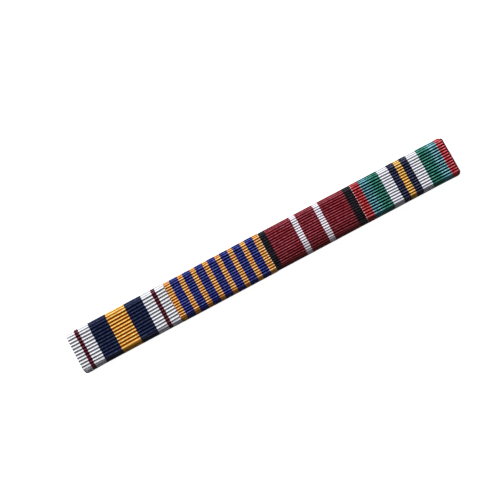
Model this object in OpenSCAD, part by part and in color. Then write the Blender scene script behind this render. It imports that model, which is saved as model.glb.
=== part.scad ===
// Ribbon bar: four medal ribbons side by side, each wrapped round one flat metal bar,
// with a plain brooch pin on the back. It lies face up on the two feet of the pin.
// X runs along the bar, Y up the wearer's chest and Z out of the face. Millimetres.

/* [Ribbons] */
// Width of the first ribbon: white edges with a maroon line, navy, and a gold middle
navy_w = 32.3; // [26:0.1:38]
// Width of the second ribbon: royal blue with gold stripes
blue_w = 32.1; // [26:0.1:38]
// Width of the third ribbon: crimson with two white stripes and black edges
crimson_w = 31.2; // [26:0.1:38]
// Width of the fourth ribbon: red, teal, green, white and navy, and a gold middle
green_w = 32.1; // [26:0.1:38]
// Thickness of a ribbon over its ribs
ribbon_t = 1; // [0.85:0.05:1.3]
// Thickness of a ribbon in the grooves between its ribs
groove_t = 0.6; // [0.5:0.02:0.68]
// How far the ends of the ribs stand out of a ribbon's side edge
selvedge = 0.15; // [0.05:0.05:0.3]
// Gap between the side edges of two ribbons
seam = 0.1; // [0.05:0.05:0.3]

/* [Ribs] */
// Distance between the ribs of the first ribbon
navy_pitch = 0.98; // [0.7:0.01:1.1]
// Distance between the ribs of the second ribbon
blue_pitch = 0.81; // [0.7:0.01:1.1]
// Distance between the ribs of the third ribbon
crimson_pitch = 0.78; // [0.7:0.01:1.1]
// Distance between the ribs of the fourth ribbon
green_pitch = 0.86; // [0.7:0.01:1.1]

/* [Bar] */
// Height of the bar inside the ribbons
bar_h = 10.9; // [9:0.1:14]
// Thickness of the bar
bar_t = 1.2; // [0.8:0.1:2]
// How far each end of the bar stays inside the outer ribbons
bar_inset = 0.5; // [0.3:0.1:1.5]
// Corner radius of the bar, seen from the front
bar_corner = 1; // [0.5:0.1:2]
// Corner radius of the ribbons at the two ends, seen from the front
end_corner = 1.2; // [0.8:0.1:2]
// Clearance between the bar and what sits on it
fit = 0.05; // [0.03:0.01:0.12]
// Height of the bare strip of bar that shows on the back
window_h = 5.2; // [4.8:0.1:6.5]

/* [Brooch pin] */
// Distance between the hinge and the catch
pin_span = 76; // [50:1:100]
// Diameter of the pin wire
wire_d = 0.9; // [0.7:0.05:1.1]
// Height of the wire's axis above the feet
wire_rise = 1.2; // [1.1:0.05:1.5]
// Length of the plate that fixes the hinge to the bar, and of the catch's plate
plate_l = 11; // [8:0.5:18]
// Height of the two plates
plate_h = 4; // [3.6:0.1:4.6]
// Thickness of the two plates
plate_t = 0.6; // [0.4:0.05:0.9]
// Distance from the back of the ribbons to the feet of the pin
standoff = 3; // [2.8:0.1:4.5]
// Length along the bar of the hinge and of the catch
block_l = 3.4; // [3:0.1:5]
// Height of the hinge and of the catch
block_h = 4.4; // [3.6:0.1:4.6]
// Thickness of each ear of the hinge
ear_t = 0.8; // [0.6:0.05:1.1]
// Diameter of the hinge's barrel
barrel_d = 2; // [1.6:0.1:2.1]

/* [Hidden] */
$fn = 48;

WHITE = "#f2f2f4";
MAROON = "#5e2730";
NAVY = "#161b38";
GOLD = "#e6a63c";
BLUE = "#20277c";
CRIMSON = "#7c1c2c";
BLACK = "#1c1c20";
RED = "#b8202e";
TEAL = "#4f9aa8";
GREEN = "#1f7560";
NICKEL = "#b9bcc0";

// Each pattern lists its stripes from left to right: parts of the width, colour
NAVY_STRIPES = [[8.4, WHITE], [4.1, MAROON], [11.8, WHITE], [19, NAVY], [21.6, GOLD],
                [19, NAVY], [11.8, WHITE], [4.1, MAROON], [10, WHITE]];
BLUE_STRIPES = [[7, GOLD], for (k = [1:6]) each [[8.5, BLUE], [5.7, GOLD]], [8.5, BLUE], [7, GOLD]];
CRIMSON_STRIPES = [[7, BLACK], [27.9, CRIMSON], [6.4, WHITE], [19.7, CRIMSON],
                   [6.4, WHITE], [27.9, CRIMSON], [8, BLACK]];
GREEN_STRIPES = [[9.3, RED], [9.8, TEAL], [11.7, GREEN], [11.4, WHITE], [7.2, NAVY], [7.2, GOLD],
                 [7.2, NAVY], [11.4, WHITE], [11.7, GREEN], [9.8, TEAL], [8.2, RED]];

// Columns: width, distance between ribs, how far the middle rib lies above the bar's centre line
// as a share of that distance, stripes
RIBBONS = [[navy_w, navy_pitch, -0.17, NAVY_STRIPES],
           [blue_w, blue_pitch, 0.3, BLUE_STRIPES],
           [crimson_w, crimson_pitch, -0.11, CRIMSON_STRIPES],
           [green_w, green_pitch, -0.06, GREEN_STRIPES]];

function sum(values, n) = n <= 0 ? 0 : values[n - 1] + sum(values, n - 1);
function column(table, c) = [for (row = table) row[c]];

count = len(RIBBONS);
total_w = sum(column(RIBBONS, 0), count) + (count - 1) * seam;
flat_h = bar_h - bar_t;
inner_r = bar_t / 2 + fit;
outer_r = inner_r + ribbon_t;
mid_z = standoff + outer_r;
plate_back = mid_z - bar_t / 2 - fit - plate_t;
// Radius of a rib, and of its end at a side edge, as shares of the distance between ribs
rib_share = 0.52;
edge_share = 0.4;
// Stripes start and end on whole steps of this length, so that each meets the next exactly
stripe_step = 0.01;
// Radius of the lower corners of the hinge and the catch
foot_corner = 0.6;
// Length of the pin's tapered tip, and the size of its blunt point, as shares of the wire
tip_share = 2.5;
point_share = 0.3;

function snap(x) = round(x / stripe_step) * stripe_step;

// Left side of ribbon i
function left(i) = snap(-total_w / 2 + sum(column(RIBBONS, 0), i) + i * seam);

// The positions of the stripes' edges on a ribbon whose left side is at x
function stripe_stops(x, width, parts) =
    [for (k = [0:len(parts)]) snap(x + width * sum(parts, k) / sum(parts, len(parts)))];

// Centre of a rib in the section, a distance s along the wrap from the middle of the face
function rib_centre(s, r) =
    let (side = sign(s), past = abs(s) - flat_h / 2, back = past - PI * r, turn = past / r * 180 / PI)
    past <= 0 ? [s, r]
    : back <= 0 ? side * [flat_h / 2 + r * sin(turn), 0] + [0, r * cos(turn)]
    : [side * (flat_h / 2 - back), -r];

// A flat bar's section with half-round edges of radius r
module stadium(r) {
    square([flat_h, 2 * r], center = true);
    for (side = [-1, 1]) translate([side * flat_h / 2, 0]) circle(r);
}

// Circles of radius share * pitch on every rib of the wrap
module rib_circles(pitch, shift, share) {
    path_r = outer_r - rib_share * pitch;
    reach = flat_h / 2 + PI * path_r + (flat_h - window_h) / 2;
    last = ceil(reach / pitch);
    for (k = [-last:last]) translate(rib_centre((k + shift) * pitch, path_r)) circle(share * pitch);
}

// What a ribbon's section leaves open: the bar's room and the bare strip on the back
module inside_of_wrap() {
    stadium(inner_r);
    translate([-window_h / 2, -2 * outer_r]) square([window_h, 2 * outer_r]);
}

module ribbon_section(pitch, shift) {
    difference() {
        union() {
            stadium(inner_r + groove_t);
            rib_circles(pitch, shift, rib_share);
        }
        inside_of_wrap();
    }
}

module selvedge_section(pitch, shift) {
    difference() {
        rib_circles(pitch, shift, edge_share);
        inside_of_wrap();
    }
}

// Turns a section in Y and Z into a solid that runs along X from one position to another
module along_bar(from, to) {
    translate([from, 0, mid_z]) rotate([90, 0, 90]) linear_extrude(to - from) children();
}

// A rectangle with rounded corners, seen from the front and d deep about the middle of the bar
module rounded_plate(l, h, r, d) {
    translate([0, 0, mid_z - d / 2]) linear_extrude(d) {
        square([l - 2 * r, h], center = true);
        square([l, h - 2 * r], center = true);
        for (x = [-1, 1], y = [-1, 1]) translate([x * (l / 2 - r), y * (h / 2 - r)]) circle(r);
    }
}

module ribbon(i) {
    width = RIBBONS[i][0];
    pitch = RIBBONS[i][1];
    shift = RIBBONS[i][2];
    stripes = RIBBONS[i][3];
    last = len(stripes) - 1;
    right = left(i) + width;
    stops = stripe_stops(left(i) + selvedge, width - 2 * selvedge, column(stripes, 0));
    intersection() {
        union() {
            for (k = [0:last])
                color(stripes[k][1]) along_bar(stops[k], stops[k + 1]) ribbon_section(pitch, shift);
            color(stripes[0][1]) along_bar(left(i), stops[1]) selvedge_section(pitch, shift);
            color(stripes[last][1]) along_bar(stops[last], right) selvedge_section(pitch, shift);
        }
        rounded_plate(total_w, flat_h + 2 * outer_r, end_corner, 4 * outer_r);
    }
}

module bar() {
    length = total_w - 2 * bar_inset;
    color(NICKEL) intersection() {
        along_bar(-length / 2, length / 2) stadium(bar_t / 2);
        rounded_plate(length, bar_h, bar_corner, 2 * bar_t);
    }
}

// The side view of the hinge's ears: rounded at the feet and let into the plate at the top
module ear_outline() {
    r = foot_corner;
    translate([-block_l / 2, r]) square([block_l, plate_back + plate_t / 2 - r]);
    translate([r - block_l / 2, 0]) square([block_l - 2 * r, 2 * r]);
    for (x = [-1, 1]) translate([x * (block_l / 2 - r), r]) circle(r);
}

// The end view of the catch: a block with a mouth at one side, whose end grips the wire
module catch_outline() {
    r = foot_corner;
    mouth = wire_d - 2 * fit;
    difference() {
        union() {
            translate([-block_h / 2, r]) square([block_h, plate_back - r]);
            translate([r - block_h / 2, 0]) square([block_h - 2 * r, 2 * r]);
            for (y = [-1, 1]) translate([y * (block_h / 2 - r), r]) circle(r);
            translate([-plate_h / 2, plate_back - r]) square([plate_h, plate_t / 2 + r]);
        }
        translate([0, wire_rise - mouth / 2]) square([block_h, mouth]);
    }
}

module hinge() {
    for (y = [-1, 1])
        translate([0, y * (block_h - ear_t) / 2, 0]) rotate([90, 0, 0])
            linear_extrude(ear_t, center = true) ear_outline();
    translate([0, 0, wire_rise]) rotate([90, 0, 0])
        cylinder(d = barrel_d, h = block_h - ear_t, center = true);
}

module catch() {
    translate([-block_l / 2, 0, 0]) rotate([90, 0, 90]) linear_extrude(block_l) catch_outline();
}

module plate() {
    r = plate_h / 2;
    translate([0, 0, plate_back]) linear_extrude(plate_t) {
        square([plate_l - 2 * r, plate_h], center = true);
        for (x = [-1, 1]) translate([x * (plate_l / 2 - r), 0]) circle(r);
    }
}

module wire() {
    shaft_l = pin_span + block_l / 2;
    translate([-pin_span / 2, 0, wire_rise]) rotate([0, 90, 0]) {
        cylinder(d = wire_d, h = shaft_l);
        translate([0, 0, shaft_l]) cylinder(d1 = wire_d, d2 = wire_d * point_share, h = wire_d * tip_share);
    }
}

module brooch_pin() {
    color(NICKEL) {
        wire();
        for (x = [-1, 1]) translate([x * pin_span / 2, 0, 0]) plate();
        translate([-pin_span / 2, 0, 0]) hinge();
        translate([pin_span / 2, 0, 0]) catch();
    }
}

bar();
ribbon(0);  // ribbon_navy
ribbon(1);  // ribbon_blue
ribbon(2);  // ribbon_crimson
ribbon(3);  // ribbon_green
brooch_pin();
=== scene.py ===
import math
import random
from collections import namedtuple

import bpy
from mathutils import Matrix, Vector


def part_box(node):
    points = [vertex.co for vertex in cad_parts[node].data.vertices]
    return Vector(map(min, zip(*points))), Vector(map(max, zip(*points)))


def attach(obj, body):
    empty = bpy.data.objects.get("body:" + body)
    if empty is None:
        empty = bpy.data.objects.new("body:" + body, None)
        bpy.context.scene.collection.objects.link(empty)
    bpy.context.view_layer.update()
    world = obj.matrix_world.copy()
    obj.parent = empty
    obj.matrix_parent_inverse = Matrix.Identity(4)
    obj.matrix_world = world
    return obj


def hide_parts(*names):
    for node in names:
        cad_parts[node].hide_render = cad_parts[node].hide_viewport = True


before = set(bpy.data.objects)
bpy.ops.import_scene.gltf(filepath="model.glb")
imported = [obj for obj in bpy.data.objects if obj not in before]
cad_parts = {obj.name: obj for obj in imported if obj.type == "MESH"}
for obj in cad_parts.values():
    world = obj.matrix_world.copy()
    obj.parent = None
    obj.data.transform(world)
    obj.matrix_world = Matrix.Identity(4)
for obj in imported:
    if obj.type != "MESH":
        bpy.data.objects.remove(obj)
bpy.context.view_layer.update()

# Lengths of the object are in millimetres, and MM turns them into metres.
MM = 0.001

# The camera, found from the corners and the seams of the bar in the photograph. PHOTO_SIZE and
# FOCAL_PIXELS are in the photograph's pixels, the other lengths in millimetres and the angles in
# degrees. AIM is the point that it looks at.
PHOTO_SIZE = 500
FOCAL_PIXELS = 1000
CAMERA_DISTANCE = 300
CAMERA_TILT = 8
CAMERA_BEARING = 242.6
CAMERA_ROLL = 27.94
AIM = (-3.78, 3.015, 6.1)
SENSOR_WIDTH = 36
NEAREST_SHOWN = 10

# The wrap of a ribbon round the bar: the gap between them, and the bare strip on the bar's back
FIT = 0.05
WINDOW = 5.2
# A rib's radius, as a share of the distance between ribs
RIB_RADIUS = 0.52

# The turns round the bar's long edges slant by this angle, and the upper one keeps this share of its
# radius there. A turn's radius is divided by no cosine or sine under LEAST_DIVISOR.
SLANT = math.radians(44)
SLANT_ABOVE = 0.94
LEAST_DIVISOR = 0.5
# The angles past the face over which the turns begin, and at and over which they end, in radians
TURN_START = 0.35
TURN_END = 2.4
TURN_CLOSE = 0.7
# How long before its slant the lower turn begins, and the angle over which it does, in radians
LOWER_TURN_LEAD = 0.1
LOWER_TURN_START = 0.23

# The share of the ribs' height that is left on the lower turn, and the level of the cloth where no
# rib is left, as a share of a rib's radius
LOWER_TURN_RIBS = 0.08
FLAT_LEVEL = 0.95
# Where the face begins to sink and over which length, and where it has come back and over which
# length, all measured down from its middle as shares of half its length
SINK_START = 0.25
SINK_LENGTH = 0.8
SINK_END = 2.1
SINK_CLOSE = 0.6

# Painted shade as the dye's depth on the upper turn (1) and the lower turn (-1), and on the ribbon's
# inner side, where a rib's crest has 0 and the groove beside it 1
TURN_PAINTED_SHADE = {1: 0.022, -1: 0.08}
INNER_PAINTED_SHADE = 0.6
# The share of the light that doesn't reach the face, per millimetre that it sinks
SUNK_SHADE = 1.4
# A painted sheen: the grey that stands in for the light the fine fibres scatter, and the share of it
# that shows on the upper turn (1) and the lower turn (-1)
PAINTED_SHEEN_GREY = (0.13, 0.12, 0.11, 1)
TURN_PAINTED_SHEEN = {1: 0.02, -1: 0.12}

# How fine the mesh is: rows to each rib, millimetres between columns, and columns on an edge thread
ROWS_TO_RIB = 8
COLUMN_STEP = 0.3
EDGE_COLUMNS = 4

# The weave's random strays: how far a rib lies from its place, as a share of the pitch, the least
# share of its height that it has, and how far in millimetres a stripe's sides stray at each rib
RIB_STRAY = 0.045
LOWEST_RIB = 0.93
SIDE_STRAY = 0.05
# The ripples of the grooves along the bar: the height, and the length over which a wave turns by one
# radian. They die out over LOOSE_END at the ribbon's cut ends.
RIPPLES = ((0.018, 1.9), (0.01, 0.7))
LOOSE_END = 2

# Dyes as they look in daylight, red, green and blue from 0 to 255: on the crest of a rib, with a
# painted highlight of the silk's gloss in it, and deep in the groove beside it, a darker copy as painted
# shade
WHITE = ((237, 238, 243), (121, 122, 126))
ROSY_WHITE = ((255, 249, 254), (138, 136, 146))
COOL_WHITE = ((250, 250, 255), (121, 122, 132))
IVORY = ((255, 238, 216), (130, 84, 44))
ROSE = ((205, 178, 176), (110, 50, 52))
MAROON = ((84, 55, 64), (53, 0, 16))
DARK_NAVY = ((46, 53, 70), (9, 15, 40))
NAVY = ((73, 76, 92), (0, 0, 16))
GOLD = ((240, 214, 133), (133, 60, 0))
PALE_GOLD = ((255, 226, 145), (122, 63, 0))
AMBER = ((251, 216, 143), (127, 59, 0))
BLUE = ((84, 95, 149), (0, 0, 47))
CRIMSON = ((137, 80, 92), (76, 0, 0))
BLACK = ((41, 40, 44), (17, 15, 18))
RED = ((181, 99, 107), (98, 0, 0))
PALE_RED = ((217, 120, 131), (81, 0, 0))
# The dark red below is painted shade: the green ribbon's right rim, where it turns away from the light
RIM_SHADE_RED = ((86, 16, 24), (66, 2, 6))
TEAL = ((125, 170, 178), (0, 0, 8))
PALE_TEAL = ((145, 190, 198), (0, 0, 12))
SEA_GREEN = ((102, 155, 154), (0, 0, 4))
GREEN = ((83, 140, 131), (0, 0, 0))

# Each pattern lists its stripes from left to right: width in millimetres, dye. Their sum is brought
# to the ribbon's width.
NAVY_STRIPES = [(2.55, WHITE), (1.28, MAROON), (3.32, WHITE), (5.75, DARK_NAVY), (6.27, GOLD),
                (5.62, DARK_NAVY), (3.29, WHITE), (1.31, MAROON), (2.92, WHITE)]
BLUE_STRIPES = [(1.94, AMBER), (2.72, BLUE)] + 6 * [(1.62, AMBER), (2.61, BLUE)] + [(2.06, AMBER)]
CRIMSON_STRIPES = [(2.01, BLACK), (8.45, CRIMSON), (1.83, ROSY_WHITE), (6.01, CRIMSON),
                   (1.85, ROSY_WHITE), (8.42, CRIMSON), (2.63, BLACK)]
GREEN_STRIPES = [(2.71, RED), (2.55, TEAL), (0.92, SEA_GREEN), (3.14, GREEN), (3.36, COOL_WHITE),
                 (2.35, NAVY), (2.03, PALE_GOLD), (2.36, NAVY), (3.38, COOL_WHITE), (3.14, GREEN),
                 (0.92, SEA_GREEN), (2.56, PALE_TEAL), (2.68, PALE_RED)]

# How each ribbon is woven and lies, in millimetres, in shares or in radians:
# stripes and seed: its pattern, and what its random strays start from.
# pitch and shift: the distance between ribs, and how far the middle rib lies above the bar's centre
# line, as a share of the pitch.
# lean: how far the ribs lie above their place, at the left side, the middle and the right side.
# sway: how far the stripes lie to the right of their place, at the face's top, middle and bottom.
# proud and settle: how far the ribs stand above the CAD solid's, and how far the face sinks towards
# its lower turn.
# ribs_above and fade: the share of the ribs' height that is left on the upper turn, and the angle
# past the face's upper end at which the ribs begin to flatten.
# below and slant_below: the share of its radius that the lower turn keeps at the bar's lower side,
# and on its slant at the left and the right side. The larger the last, the lower the slant begins.
# shade_below: the share of the light that doesn't reach the lower turn.
RIBBONS = {
    "ribbon_navy": {
        "stripes": NAVY_STRIPES, "seed": 3, "pitch": 0.98, "shift": -0.08,
        "lean": (-0.09, 0, 0.57), "sway": (-0.03, 0, 0.03), "proud": 0.1, "settle": 0,
        "ribs_above": 0.35, "fade": 0, "below": 0.95, "slant_below": (0.82, 0.98), "shade_below": 0.13,
    },
    "ribbon_blue": {
        "stripes": BLUE_STRIPES, "seed": 5, "pitch": 0.81, "shift": 0.39,
        "lean": (-0.29, 0, 0.16), "sway": (0, 0, 0.1), "proud": 0.1, "settle": 0.06,
        "ribs_above": 0.7, "fade": 0, "below": 0.965, "slant_below": (0.91, 0.93), "shade_below": 0.13,
    },
    "ribbon_crimson": {
        "stripes": CRIMSON_STRIPES, "seed": 7, "pitch": 0.78, "shift": -0.03,
        "lean": (-0.15, 0, -0.3), "sway": (0.04, 0, -0.04), "proud": 0, "settle": 0.3,
        "ribs_above": 0.5, "fade": -0.25, "below": 0.94, "slant_below": (0.91, 0.91), "shade_below": 0.13,
    },
    "ribbon_green": {
        "stripes": GREEN_STRIPES, "seed": 11, "pitch": 0.86, "shift": 0.03,
        "lean": (0.25, 0, -0.05), "sway": (0.03, 0, -0.04), "proud": 0, "settle": 0,
        "ribs_above": 0.5, "fade": -0.35, "below": 0.99, "slant_below": (0.83, 0.91), "shade_below": 0.23,
    },
}

# The woven edges at a ribbon's left and right side, in millimetres and shares:
# dye and width: those of the edge thread.
# push: how far each rib's end stands out beyond the grooves beside it.
# round and kept: how far in the cloth rounds off, and the share of its thickness at the side.
# over: how far the edge lies beyond the CAD solid's.
# plain: True where the edge thread has no ribs.
# flare: how far the lower turn stands out at the side.
# worn: the share of the ribs' height that is worn off at the side, at the face's top.
COMMON_EDGE = {"width": 0.12, "push": 0.05, "round": 0.14, "kept": 0.75, "over": 0.04,
               "plain": False, "flare": 0, "worn": 0}
EDGES = {
    "ribbon_navy": (dict(COMMON_EDGE, dye=WHITE, over=0.2, flare=0.36, worn=0.6),
                    dict(COMMON_EDGE, dye=WHITE, over=0.09)),
    "ribbon_blue": (dict(COMMON_EDGE, dye=ROSE),
                    dict(COMMON_EDGE, dye=IVORY, width=0.3, push=0.26)),
    "ribbon_crimson": (dict(COMMON_EDGE, dye=BLACK),
                       dict(COMMON_EDGE, dye=BLACK)),
    "ribbon_green": (dict(COMMON_EDGE, dye=ROSE, width=0.2, push=0.08),
                     # The right edge thread's dark red is painted shade, where the rim turns away from the
                     # light
                     dict(COMMON_EDGE, dye=RIM_SHADE_RED, width=0.5, push=0, round=0.5, kept=0.35, over=-0.02,
                          plain=True, flare=0.16)),
}
# How far in from the side the pushed ribs reach, and how far in the flare and the wear fade
PUSH_REACH = 0.5
FLARE_REACH = 3
WORN_REACH = 1.2
# How far above the middle of the face the wear begins, and the length over which it does
WORN_START = 2
WORN_LENGTH = 3
# A plain thread's level as a share of a rib's radius, its width, and the length over which it ends
PLAIN_LEVEL = 0.72
PLAIN_WIDTH = 0.4
PLAIN_END = 0.15
# Radii of the bar's corners, seen from the front: ribbon, side of the bar, top or bottom
CORNERS = {("ribbon_navy", -1, 1): 0.4, ("ribbon_navy", -1, -1): 1.4,
           ("ribbon_green", 1, 1): 1.3, ("ribbon_green", 1, -1): 1}


def linear(colour):
    """A display colour from 0 to 255 as the light values that the shader takes, by sRGB's curve."""
    def channel(value):
        value = value / 255
        return value / 12.92 if value <= 0.04045 else ((value + 0.055) / 1.055) ** 2.4
    return tuple(channel(value) for value in colour) + (1,)


def mix(low, high, share):
    return low + (high - low) * share


def smooth(value):
    value = min(max(value, 0), 1)
    return value * value * (3 - 2 * value)


def curve_through(values, t):
    """The curve that takes the three values at t of -1, 0 and 1."""
    first, middle, last = values
    return middle + (last - first) / 2 * t + ((last + first) / 2 - middle) * t * t


class Nodes:
    """Builds a material's node tree with short calls."""

    def __init__(self, name):
        self.material = bpy.data.materials.new(name)
        self.material.use_nodes = True
        self.tree = self.material.node_tree
        self.tree.nodes.clear()
        self.output = self.add("ShaderNodeOutputMaterial")
        self.shader = self.add("ShaderNodeBsdfPrincipled")
        self.feed(self.shader.outputs["BSDF"], self.output.inputs["Surface"])
        self.object_place = self.add("ShaderNodeTexCoord").outputs["Object"]

    def add(self, kind, **settings):
        node = self.tree.nodes.new(kind)
        for key, value in settings.items():
            setattr(node, key, value)
        return node

    def feed(self, value, socket):
        """Sets a socket to a number or a colour, or links it to another node's output."""
        if isinstance(value, (int, float, tuple)):
            socket.default_value = value
        else:
            self.tree.links.new(value, socket)

    def stretched(self, scale):
        """The place on the object, with each axis multiplied by scale, in units per metre."""
        mapping = self.add("ShaderNodeMapping")
        self.feed(self.object_place, mapping.inputs["Vector"])
        self.feed(scale, mapping.inputs["Scale"])
        return mapping.outputs["Vector"]

    def noise(self, scale, detail=2):
        """Noise around 0.5, its grain set by a scale for each axis, in units per metre."""
        node = self.add("ShaderNodeTexNoise")
        self.feed(self.stretched(scale), node.inputs["Vector"])
        self.feed(1, node.inputs["Scale"])
        self.feed(detail, node.inputs["Detail"])
        return node.outputs["Fac"]

    def mesh_share(self, name):
        """The share from 0 to 1 that the mesh holds under this name."""
        return self.add("ShaderNodeAttribute", attribute_name=name).outputs["Fac"]

    def remap(self, value, span, result=(0, 1)):
        """A value brought from one span to another, and kept inside it."""
        node = self.add("ShaderNodeMapRange")
        self.feed(value, node.inputs["Value"])
        for name, number in zip(("From Min", "From Max", "To Min", "To Max"), span + result):
            self.feed(number, node.inputs[name])
        return node.outputs["Result"]

    def arithmetic(self, operation, first, second):
        node = self.add("ShaderNodeMath", operation=operation)
        self.feed(first, node.inputs[0])
        self.feed(second, node.inputs[1])
        return node.outputs[0]

    def blend(self, low, high, share):
        """Colour low where share is 0 and high where it is 1."""
        node = self.add("ShaderNodeMix", data_type="RGBA")
        # The node has sockets for other kinds of data too: these are its factor and its two colours
        for number, value in ((0, share), (6, low), (7, high)):
            self.feed(value, node.inputs[number])
        return node.outputs[2]

    def bump(self, height, distance, strength, below=None):
        node = self.add("ShaderNodeBump")
        self.feed(height, node.inputs["Height"])
        self.feed(distance, node.inputs["Distance"])
        self.feed(strength, node.inputs["Strength"])
        if below is not None:
            self.feed(below, node.inputs["Normal"])
        return node.outputs["Normal"]

    def set(self, **values):
        for name, value in values.items():
            self.feed(value, self.shader.inputs[name.replace("_", " ")])


# The warp threads lie this far apart along the bar, and each stands out this far
THREAD_PITCH = 0.16
THREAD_HEIGHT = 0.012
# Blender's band texture repeats after this length at a scale of 1, and these make its bands waver
BAND_LENGTH = 2 * math.pi / 20
BAND_WAVER = {"Distortion": 0.6, "Detail": 2, "Detail Scale": 0.02}
# Scales of the silk's noises along the bar, across it and up, per metre
GLINT_SCALE = (1500, 2000, 2000)
SINGLE_THREAD_SCALE = (5200, 420, 420)
CLOUD_SCALE = (180, 260, 260)
# How far pale and dull threads depart from the crest's colour, as a share of it: for white, and for
# a dye that lacks one of red, green and blue. The pale threads are partly painted glints of the gloss
# and partly threads of uneven tone. PALE_LIGHT lifts the pale threads of dark dyes as a painted
# highlight, and PALEST is the most that a pale thread has of any channel.
LIVELINESS = (0.25, 0.9)
PALE_LIGHT = 0.004
PALEST = 0.92
# How many times more the light takes the dye's colour between threads
EXTRA_BOUNCES = 1.5
# The share of the crest's plain colour, of single dull threads and of clouds of rich colour
PLAIN_SHARE = 0.2
DULL_SHARE = 0.5
CLOUD_SHARE = 0.4
# The spans of the noises, and of the groove's depth, over which each look comes in
GLINT_SPAN = (0.34, 0.66)
DULL_SPAN = (0.5, 0.8)
CLOUD_SPAN = (0.5, 0.75)
RICH_GROOVE = (0.01, 0.07)
DEEP_GROOVE = (0.01, 0.13)
GLINT_ROUGH_SPAN = (0.35, 0.65)
GROOVE_ROUGH_SPAN = (0.02, 0.27)
# The roughness of dull and of pale threads, and in the grooves
CREST_ROUGHNESS = (0.62, 0.34)
GROOVE_ROUGHNESS = 0.95
# How strongly the bands and the single threads stand out
BAND_STRENGTH = 0.9
SINGLE_THREAD_STRENGTH = 0.6
# The silk's specular level, and the sheen of its fibres
GLOSS = 0.02
SHEEN = 0.01
SHEEN_ROUGHNESS = 0.4
SHEEN_TINT = (1, 0.97, 0.95, 1)


def silk_tints(dye):
    """The crest's colour, that of its pale and dull threads, a richer one, and the groove's painted shade.
    """
    crest, deep = (linear(colour) for colour in dye)
    light = crest[:3]
    lively = mix(*LIVELINESS, 1 - min(light))
    pale = tuple(min(channel * (1 + lively) + PALE_LIGHT, PALEST) for channel in light) + (1,)
    dull = tuple(channel * (1 - lively) for channel in light) + (1,)
    # Light that bounces between the threads takes the dye's colour more than once
    rich = tuple(channel * (channel / max(light)) ** EXTRA_BOUNCES for channel in light) + (1,)
    return crest, pale, dull, rich, deep


def silk_colour(nodes, dye, glints, single_threads, groove):
    """Painted glints on the crests, painted shade in the grooves and lower turn, painted sheen on the
    turns.
    """
    crest, pale, dull, rich, deep = silk_tints(dye)
    cloudy = nodes.noise(CLOUD_SCALE, detail=3)
    # Painted glints: pale and dull threads along each crest, partly threads of uneven tone
    colour = nodes.blend(dull, pale, nodes.remap(glints, GLINT_SPAN))
    colour = nodes.blend(colour, crest, PLAIN_SHARE)
    colour = nodes.blend(colour, dull, nodes.remap(single_threads, DULL_SPAN, (0, DULL_SHARE)))
    colour = nodes.blend(colour, rich, nodes.remap(cloudy, CLOUD_SPAN, (0, CLOUD_SHARE)))
    # Painted shade in the grooves: the richer colour of light bounced between threads, then the groove's
    # dark dye
    colour = nodes.blend(colour, rich, nodes.remap(groove, RICH_GROOVE))
    colour = nodes.blend(colour, deep, nodes.remap(groove, DEEP_GROOVE))
    # Painted shade on the lower turn and the sunken face, then the painted sheen's grey on the turns
    colour = nodes.blend(colour, (0, 0, 0, 1), nodes.mesh_share("shade"))
    return nodes.blend(colour, PAINTED_SHEEN_GREY, nodes.mesh_share("painted_sheen"))


def warp_threads(nodes):
    """Fine bands across the ribs, one to each warp thread."""
    bands = nodes.add("ShaderNodeTexWave", wave_type="BANDS", bands_direction="X", wave_profile="SIN")
    nodes.feed(nodes.object_place, bands.inputs["Vector"])
    nodes.feed(BAND_LENGTH / (THREAD_PITCH * MM), bands.inputs["Scale"])
    for name, value in BAND_WAVER.items():
        nodes.feed(value, bands.inputs[name])
    return bands.outputs["Fac"]


def silk(name, dye):
    """Ribbed silk: fine warp threads that cross the ribs, glinting unevenly along each crest, in roughness
    and as painted glints.
    """
    nodes = Nodes(name)
    glints = nodes.noise(GLINT_SCALE)
    single_threads = nodes.noise(SINGLE_THREAD_SCALE)
    groove = nodes.mesh_share("groove")
    relief = nodes.bump(warp_threads(nodes), THREAD_HEIGHT * MM, BAND_STRENGTH)
    relief = nodes.bump(single_threads, THREAD_HEIGHT * MM, SINGLE_THREAD_STRENGTH, below=relief)
    on_threads = nodes.remap(glints, GLINT_ROUGH_SPAN, CREST_ROUGHNESS)
    in_groove = nodes.remap(groove, GROOVE_ROUGH_SPAN, (0, GROOVE_ROUGHNESS))
    rough = nodes.arithmetic("MAXIMUM", on_threads, in_groove)
    colour = silk_colour(nodes, dye, glints, single_threads, groove)
    nodes.set(Base_Color=colour, Normal=relief, Roughness=rough)
    nodes.shader.inputs["Sheen Weight"].default_value = SHEEN
    nodes.shader.inputs["Sheen Roughness"].default_value = SHEEN_ROUGHNESS
    nodes.shader.inputs["Sheen Tint"].default_value = SHEEN_TINT
    nodes.shader.inputs["Specular IOR Level"].default_value = GLOSS
    return nodes.material


# Nickel plating: its colour from 0 to 255, and the share of each channel that tarnish leaves
NICKEL = (178, 176, 170)
TARNISH = (0.72, 0.66, 0.56)
# Scales of its noises along the bar, across it and up, per metre
DRAWN_SCALE = (40, 4200, 4200)
BLOOM_SCALE = (260, 320, 320)
SCRATCH_SCALE = (900, 9000, 3000)
# The spans of the noises over which tarnish, bloom and scratches come in
TARNISH_SPAN = (0.5, 0.75)
BLOOM_SPAN = (0.3, 0.75)
SCRATCH_SPAN = (0.55, 0.7)
# The largest share of tarnish, and what bloom and scratches add to the roughness at most
MOST_TARNISH = 0.7
BLOOM_ROUGHNESS = 0.18
SCRATCH_ROUGHNESS = 0.12
# The depth of the drawn lines and of the scratches, and how strongly each shows
DRAWN_DEPTH = 0.004
DRAWN_STRENGTH = 0.6
SCRATCH_DEPTH = 0.003
SCRATCH_STRENGTH = 0.5
# The least roughness of each metal piece
METALS = {"bar": 0.34, "brooch_pin": 0.22}


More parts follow.
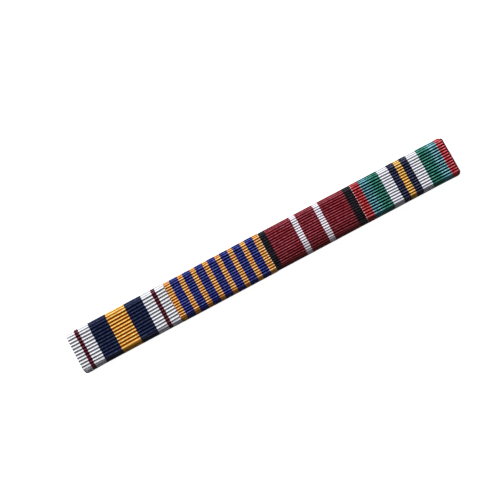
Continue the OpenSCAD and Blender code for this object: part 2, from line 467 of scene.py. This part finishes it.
def nickel(name, roughness):
    """Nickel plating with drawn lines, a dull bloom and small scratches."""
    nodes = Nodes(name)
    drawn = nodes.noise(DRAWN_SCALE, detail=3)
    bloom = nodes.noise(BLOOM_SCALE, detail=4)
    scratches = nodes.noise(SCRATCH_SCALE)
    base = linear(NICKEL)
    tarnish = tuple(channel * left for channel, left in zip(base, TARNISH)) + (1,)
    colour = nodes.blend(base, tarnish, nodes.remap(bloom, TARNISH_SPAN, (0, MOST_TARNISH)))
    bloomed = nodes.remap(bloom, BLOOM_SPAN, (roughness, roughness + BLOOM_ROUGHNESS))
    scratched = nodes.remap(scratches, SCRATCH_SPAN, (0, SCRATCH_ROUGHNESS))
    rough = nodes.arithmetic("ADD", bloomed, scratched)
    relief = nodes.bump(drawn, DRAWN_DEPTH * MM, DRAWN_STRENGTH)
    relief = nodes.bump(scratches, SCRATCH_DEPTH * MM, SCRATCH_STRENGTH, below=relief)
    nodes.set(Base_Color=colour, Roughness=rough, Normal=relief, Metallic=1.0)
    return nodes.material


class Wrap:
    """The path that a ribbon takes round the bar, from the boxes of the CAD solids.

    A place on it is the length s along the wrap from the middle of the face, positive towards +Y,
    and the distance r from the bar's middle plane, or on a turn from its axis in that plane.
    """

    def __init__(self, node, pitch, below):
        bar_low, bar_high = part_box("bar")
        low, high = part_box(node)
        self.left = low[0] / MM
        self.right = high[0] / MM
        self.middle = (bar_low[2] + bar_high[2]) / 2 / MM
        thickness = (bar_high[2] - bar_low[2]) / MM
        self.flat = (bar_high[1] - bar_low[1]) / MM - thickness
        self.inner = thickness / 2 + FIT
        self.outer = (high[2] - low[2]) / 2 / MM
        self.rib_radius = RIB_RADIUS * pitch
        self.below = below
        self.reach = self.flat / 2 + math.pi * self.outer + (self.flat - WINDOW) / 2

    def turn(self, s):
        """The angle that the wrap has turned by at s: 0 on the face and 180 degrees on the back."""
        return min(max((abs(s) - self.flat / 2) / self.outer, 0), math.pi)

    def slanted(self, s, slant_below):
        """The outer surface's distance from the bar's middle, as a share of a round turn's."""
        turn = self.turn(s)
        turn = min(turn, math.pi - turn)
        face = 1 / max(math.cos(turn), LEAST_DIVISOR)
        side = (1 if s > 0 else self.below) / max(math.sin(turn), LEAST_DIVISOR)
        slant = (SLANT_ABOVE if s > 0 else slant_below) / math.cos(turn - SLANT)
        return min(face, side, slant)

    def point(self, s, r):
        """The distance Y across the bar and the height Z above the floor of the place s, r."""
        side = 1 if s >= 0 else -1
        past = abs(s) - self.flat / 2
        back = past - math.pi * self.outer
        if past <= 0:
            return s, self.middle + r
        if back <= 0:
            turn = past / self.outer
            return side * (self.flat / 2 + r * math.sin(turn)), self.middle + r * math.cos(turn)
        return side * (self.flat / 2 - back), self.middle - r


# A row of the mesh: the number of its rib, its place across that rib from -0.5 to 0.5, its length s
# along the wrap and the rib's height there
Row = namedtuple("Row", "rib across s height")
# A column of the mesh: its distance from the ribbon's left side, and the number of its stripe
Column = namedtuple("Column", "x stripe")


def crease(row):
    """0 on a rib's crest and 1 in the grooves beside it."""
    return 1 - math.cos(math.asin(2 * row.across))


class Weave:
    """The threads of one ribbon: rows across the wrap, columns along it, and where each lies."""

    def __init__(self, node):
        self.node = node
        self.spec = RIBBONS[node]
        self.left_edge, self.right_edge = EDGES[node]
        self.wrap = Wrap(node, self.spec["pitch"], self.spec["below"])
        self.width = self.wrap.right - self.wrap.left
        stripe_dyes = [dye for _, dye in self.spec["stripes"]]
        self.dyes = [self.left_edge["dye"], *stripe_dyes, self.right_edge["dye"]]
        self.stops = self.stripe_stops()
        self.columns = self.stripe_columns()
        chance = random.Random(self.spec["seed"])
        self.rows = self.rib_rows(chance)
        ribs = sorted({row.rib for row in self.rows})
        self.strays = {rib: [chance.uniform(-SIDE_STRAY, SIDE_STRAY) for _ in self.stops] for rib in ribs}
        grooves = ribs + [ribs[-1] + 1]
        self.phases = {groove: [chance.uniform(0, 2 * math.pi) for _ in RIPPLES] for groove in grooves}

    def stripe_stops(self):
        """Where the stripes begin and end, from the left side, with the edge threads first and last."""
        parts = [part for part, _ in self.spec["stripes"]]
        stops = [0]
        for part in parts:
            stops.append(stops[-1] + part * self.width / sum(parts))
        first = -self.left_edge["over"]
        last = self.width + self.right_edge["over"]
        left = [first, first + self.left_edge["width"]]
        right = [last - self.right_edge["width"], last]
        return left + stops[1:-1] + right

    def stripe_columns(self):
        """The columns, evenly spread over each stripe."""
        columns = []
        last = len(self.dyes) - 1
        for stripe, (start, end) in enumerate(zip(self.stops, self.stops[1:])):
            count = EDGE_COLUMNS if stripe in (0, last) else max(2, round((end - start) / COLUMN_STEP))
            columns += [Column(mix(start, end, step / count), stripe) for step in range(count)]
        return columns + [Column(self.stops[-1], last)]

    def rib_rows(self, chance):
        """The rows, from one cut end of the ribbon to the other."""
        reach = self.wrap.reach
        last = math.ceil(reach / self.spec["pitch"]) + 1
        ribs = range(-last, last + 2)
        stray = {rib: chance.uniform(-RIB_STRAY, RIB_STRAY) for rib in ribs}
        full = {rib: chance.uniform(LOWEST_RIB, 1) for rib in ribs}
        rows = []
        for rib in range(-last, last + 1):
            for step in range(ROWS_TO_RIB):
                angle = mix(-math.pi / 2, math.pi / 2, step / ROWS_TO_RIB)
                across = math.sin(angle) / 2
                strayed = mix(stray[rib], stray[rib + 1], across + 0.5)
                s = (rib + self.spec["shift"] + across + strayed) * self.spec["pitch"]
                rows.append(Row(rib, across, s, self.wrap.rib_radius * math.cos(angle) * full[rib]))
        rows = [row for row in rows if -reach < row.s < reach]
        return [rows[0]._replace(s=-reach)] + rows + [rows[-1]._replace(s=reach)]

    def edge_at(self, x):
        """The nearer edge and the distance to it."""
        if x < self.width / 2:
            return self.left_edge, x - self.stops[0]
        return self.right_edge, self.stops[-1] - x

    def slide(self, row, column):
        """How far a thread lies to the right of its stripe's straight place."""
        stripe = column.stripe
        between = (column.x - self.stops[stripe]) / (self.stops[stripe + 1] - self.stops[stripe])
        edge, depth = self.edge_at(column.x)
        free = min(depth / PUSH_REACH, 1)
        push = (1 - free) * edge["push"] * crease(row)
        strays = self.strays[row.rib]
        ragged = free * mix(strays[stripe], strays[stripe + 1], between)
        sway = curve_through(self.spec["sway"], max(-1, min(1, -2 * row.s / self.wrap.flat)))
        return ragged + sway + (push if column.x < self.width / 2 else -push)

    def place(self, row, x):
        """The length along the wrap at which a row lies at x, where its rib leans and ripples."""
        phases = self.phases[row.rib + (1 if row.across > 0 else 0)]
        ripple = sum(height * math.sin(x / length + phase)
                     for (height, length), phase in zip(RIPPLES, phases))
        lean = curve_through(self.spec["lean"], 2 * x / self.width - 1)
        held = smooth((self.wrap.reach - abs(row.s)) / LOOSE_END)
        return row.s + held * (lean + ripple * abs(2 * row.across))

    def fullness(self, s, x):
        """The share of the cloth's thickness that is left, because its sides round off on the face."""
        edge, depth = self.edge_at(x)
        inset = min(depth / edge["round"], 1)
        rounded = mix(edge["kept"], 1, math.sqrt(inset * (2 - inset)))
        return mix(rounded, 1, smooth(self.wrap.turn(s)))

    def ribbed(self, x):
        """0 on a plain edge thread and 1 everywhere else."""
        edge, depth = self.edge_at(x)
        return smooth((depth - PLAIN_WIDTH) / PLAIN_END) if edge["plain"] else 1

    def slant_at(self, x):
        """The share of its radius that the lower turn keeps on its slant."""
        return mix(*self.spec["slant_below"], x / self.width)

    def turned(self, s, x):
        """1 on the turns round the bar's long edges, and 0 on the face and on the back."""
        turn = self.wrap.turn(s)
        start, length = 0, TURN_START
        if s <= 0:
            slant_start = math.atan2(self.slant_at(x) - math.cos(SLANT), math.sin(SLANT))
            start, length = slant_start - LOWER_TURN_LEAD, LOWER_TURN_START
        return smooth((turn - start) / length) - smooth((turn - TURN_END) / TURN_CLOSE)

    def ribbing(self, s, x):
        """The share of the ribs' height that is left, because the turns stretch them flat."""
        if s <= 0:
            return mix(1, LOWER_TURN_RIBS, self.turned(s, x))
        past = (s - self.wrap.flat / 2) / self.wrap.outer
        flattened = smooth((past - self.spec["fade"]) / TURN_START) - smooth((past - TURN_END) / TURN_CLOSE)
        edge, depth = self.edge_at(x)
        worn = edge["worn"] * math.exp(-depth / WORN_REACH) * smooth((s - WORN_START) / WORN_LENGTH)
        return mix(1, self.spec["ribs_above"], flattened) * (1 - worn)

    def sunk(self, s):
        """How near the face has come to its lowest place, from 0 to 1."""
        below = -s / (self.wrap.flat / 2)
        fallen = min(max((below - SINK_START) / SINK_LENGTH, 0), 1)
        return fallen * smooth((SINK_END - below) / SINK_CLOSE)

    def outer_distance(self, row, s, x):
        """The outer side's distance from the bar's middle plane, or from a turn's axis."""
        radius = self.wrap.rib_radius
        raised = mix(radius * PLAIN_LEVEL, row.height, self.ribbed(x))
        raised = mix(radius * FLAT_LEVEL, raised, self.ribbing(s, x))
        distance = self.wrap.outer - radius + raised + self.spec["proud"]
        distance *= self.wrap.slanted(s, self.slant_at(x))
        if s < 0:
            edge, depth = self.edge_at(x)
            distance += edge["flare"] * math.exp(-depth / FLARE_REACH) * smooth(self.wrap.turn(s))
        return distance

    def point(self, row, column, outside):
        """Where a thread crosses a row, on the ribbon's outer or inner side."""
        s = self.place(row, column.x)
        half_thickness = (self.wrap.outer - self.wrap.inner) / 2
        core = self.wrap.inner + half_thickness
        fullness = self.fullness(s, column.x)
        if outside:
            y, z = self.wrap.point(s, core + (self.outer_distance(row, s, column.x) - core) * fullness)
            z -= self.spec["settle"] * self.sunk(s) ** 2
        else:
            y, z = self.wrap.point(s, core - half_thickness * fullness)
        return self.cut_corner((self.wrap.left + column.x + self.slide(row, column), y, z))

    def groove(self, row, column):
        """The depth in the groove, for its painted shade and roughness: 0 on a rib's crest and 1 in the
        groove.
        """
        s = self.place(row, column.x)
        in_groove = self.ribbed(column.x) * self.ribbing(s, column.x) * crease(row)
        return max(in_groove, TURN_PAINTED_SHADE[1 if s > 0 else -1] * self.turned(s, column.x))

    def shade(self, row, column):
        """The share of the light that doesn't reach the cloth's lower turn and its sunken face."""
        s = self.place(row, column.x)
        if s > 0:
            return 0
        sunken = SUNK_SHADE * self.spec["settle"] * self.sunk(s)
        return mix(sunken, self.spec["shade_below"], self.turned(s, column.x))

    def painted_sheen(self, row, column):
        """The share of the painted sheen's grey on the turns."""
        s = self.place(row, column.x)
        return TURN_PAINTED_SHEEN[1 if s > 0 else -1] * self.turned(s, column.x)

    def cut_corner(self, point):
        """Draws a point near the end of the bar in, so that the plan outline has round corners."""
        x, y, z = point
        side, top = (1 if x > 0 else -1), (1 if y > 0 else -1)
        radius = CORNERS.get((self.node, side, top))
        if radius is None:
            return point
        end = self.wrap.left + (self.stops[-1] if side > 0 else self.stops[0])
        rim = self.wrap.flat / 2 + self.wrap.outer - radius
        into = side * (x - end) + radius
        up = abs(y) - rim
        if into <= 0 or up <= 0:
            return point
        shrink = max(into, up) / math.hypot(into, up)
        return (end + side * (into * shrink - radius), top * (rim + up * shrink), z)


def closed_sheet(deep, wide):
    """Faces of a sheet with two layers of deep rows by wide columns, and the column of each face."""
    def at(layer, row, column):
        return (layer * deep + row) * wide + column

    faces = []
    owners = []
    last_row, last_column = deep - 1, wide - 1
    for near in range(last_row):
        far = near + 1
        for here in range(last_column):
            there = here + 1
            faces.append((at(0, near, here), at(0, near, there), at(0, far, there), at(0, far, here)))
            faces.append((at(1, near, here), at(1, far, here), at(1, far, there), at(1, near, there)))
            owners += [here, here]
        faces.append((at(0, near, 0), at(0, far, 0), at(1, far, 0), at(1, near, 0)))
        here = last_column
        faces.append((at(0, near, here), at(1, near, here), at(1, far, here), at(0, far, here)))
        owners += [0, here]
    for here in range(last_column):
        there, end = here + 1, last_row
        faces.append((at(0, 0, here), at(1, 0, here), at(1, 0, there), at(0, 0, there)))
        faces.append((at(0, end, here), at(0, end, there), at(1, end, there), at(1, end, here)))
        owners += [here, here]
    return faces, owners


def cloth_mesh(weave):
    """A ribbon's mesh, with its dyes and with the shares that its silk reads."""
    points = []
    shares = {"groove": [], "shade": [], "painted_sheen": []}
    for outside in (True, False):
        for row in weave.rows:
            for column in weave.columns:
                points.append(Vector(weave.point(row, column, outside)) * MM)
                shares["groove"].append(weave.groove(row, column) if outside else INNER_PAINTED_SHADE)
                shares["shade"].append(weave.shade(row, column) if outside else 0)
                shares["painted_sheen"].append(weave.painted_sheen(row, column) if outside else 0)
    faces, owners = closed_sheet(len(weave.rows), len(weave.columns))
    mesh = bpy.data.meshes.new(weave.node + "_cloth")
    mesh.from_pydata(points, [], faces)
    used = list(dict.fromkeys(weave.dyes))
    for number, dye in enumerate(used):
        mesh.materials.append(silk(f"{weave.node}_silk_{number}", dye))
    slots = [used.index(weave.dyes[weave.columns[owner].stripe]) for owner in owners]
    mesh.polygons.foreach_set("material_index", slots)
    mesh.polygons.foreach_set("use_smooth", [True] * len(faces))
    for name, values in shares.items():
        mesh.attributes.new(name, "FLOAT", "POINT").data.foreach_set("value", values)
    mesh.update()
    return mesh


def ribbon(node):
    """One ribbon: a woven sheet with round ribs, wrapped round the bar and closed at its edges."""
    weave = Weave(node)
    cloth = bpy.data.objects.new(node + "_cloth", cloth_mesh(weave))
    bpy.context.scene.collection.objects.link(cloth)
    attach(cloth, "root")
    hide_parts(node)


def plate(node, roughness):
    """Gives a metal piece of the frame its plating."""
    metal = nickel(node + "_nickel", roughness)
    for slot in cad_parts[node].material_slots:
        slot.material = metal


# The floor: half its side in metres, its two greys and their grain per metre, its roughness and the
# strength of its glow
FLOOR_HALF = 1.5
FLOOR_GREYS = ((0.3, 0.3, 0.3, 1), (0.33, 0.33, 0.33, 1))
FLOOR_GRAIN = (90, 90, 90)
FLOOR_ROUGHNESS = 0.9
FLOOR_GLOW = 0.98


def floor():
    """A wide pale floor whose own glow keeps the shadow faint."""
    nodes = Nodes("floor_pale")
    colour = nodes.blend(*FLOOR_GREYS, nodes.noise(FLOOR_GRAIN, detail=3))
    nodes.set(Base_Color=colour, Roughness=FLOOR_ROUGHNESS)
    nodes.shader.inputs["Emission Color"].default_value = (1, 1, 1, 1)
    nodes.shader.inputs["Emission Strength"].default_value = FLOOR_GLOW
    corners = [(x * FLOOR_HALF, y * FLOOR_HALF, 0) for x, y in ((-1, -1), (1, -1), (1, 1), (-1, 1))]
    mesh = bpy.data.meshes.new("floor")
    mesh.from_pydata(corners, [], [(0, 1, 2, 3)])
    mesh.materials.append(nodes.material)
    plane = bpy.data.objects.new("floor", mesh)
    bpy.context.scene.collection.objects.link(plane)
    plane.visible_diffuse = False


def pose(right, up, back, place):
    """A matrix from the directions of three axes and a place."""
    matrix = Matrix((right, up, back)).transposed().to_4x4()
    matrix.translation = place
    return matrix


def direction(bearing, height):
    """The unit vector at a bearing from the bar's +X and a height above the floor, in degrees."""
    bearing = math.radians(bearing)
    height = math.radians(height)
    flat = math.cos(height)
    return Vector((flat * math.cos(bearing), flat * math.sin(bearing), math.sin(height)))


def camera():
    """The photograph's camera, rolled so that the bar rises to the right in the picture."""
    back = direction(CAMERA_BEARING, 90 - CAMERA_TILT)
    along_bar = Vector((1, 0, 0))
    along_bar = (along_bar - along_bar.dot(back) * back).normalized()
    across_bar = back.cross(along_bar)
    roll = math.radians(CAMERA_ROLL)
    right = along_bar * math.cos(roll) - across_bar * math.sin(roll)
    up = along_bar * math.sin(roll) + across_bar * math.cos(roll)
    data = bpy.data.cameras.new("camera")
    data.sensor_width = SENSOR_WIDTH
    data.lens = SENSOR_WIDTH * FOCAL_PIXELS / PHOTO_SIZE
    data.clip_start = NEAREST_SHOWN * MM
    eye = bpy.data.objects.new("camera", data)
    eye.matrix_world = pose(right, up, back, (Vector(AIM) + back * CAMERA_DISTANCE) * MM)
    bpy.context.scene.collection.objects.link(eye)
    bpy.context.scene.camera = eye


# The studio's lights: bearing from the bar's +X and height above the floor in degrees, distance and
# size in millimetres, power in watts and colour. The low key draws the ribs, and the front is a wide
# soft light near the camera. The fill comes from all sides.
LIGHTS = {
    "key": {"bearing": 118, "height": 45, "distance": 1800, "size": 320, "power": 61,
            "colour": (1, 0.99, 0.985)},
    "front": {"bearing": 90, "height": 72, "distance": 1800, "size": 700, "power": 2.2,
              "colour": (0.95, 0.96, 1)},
}
FILL_COLOUR = (0.95, 0.97, 1, 1)
FILL_STRENGTH = 0.045


def lamp(name, light):
    """One round area light that shines on the bar's middle."""
    back = direction(light["bearing"], light["height"])
    right = Vector((0, 0, 1)).cross(back).normalized()
    data = bpy.data.lights.new(name, "AREA")
    data.shape = "DISK"
    data.size = light["size"] * MM
    data.energy = light["power"]
    data.color = light["colour"]
    holder = bpy.data.objects.new(name, data)
    holder.matrix_world = pose(right, back.cross(right), back, back * light["distance"] * MM)
    bpy.context.scene.collection.objects.link(holder)


def fill():
    """The light from all sides."""
    world = bpy.data.worlds.new("studio")
    world.use_nodes = True
    background = world.node_tree.nodes["Background"]
    background.inputs["Color"].default_value = FILL_COLOUR
    background.inputs["Strength"].default_value = FILL_STRENGTH
    bpy.context.scene.world = world


bpy.context.scene.view_settings.view_transform = "Standard"
camera()
for name, light in LIGHTS.items():
    lamp(name, light)
fill()
floor()

for node in RIBBONS:
    ribbon(node)

for node, roughness in METALS.items():
    plate(node, roughness)
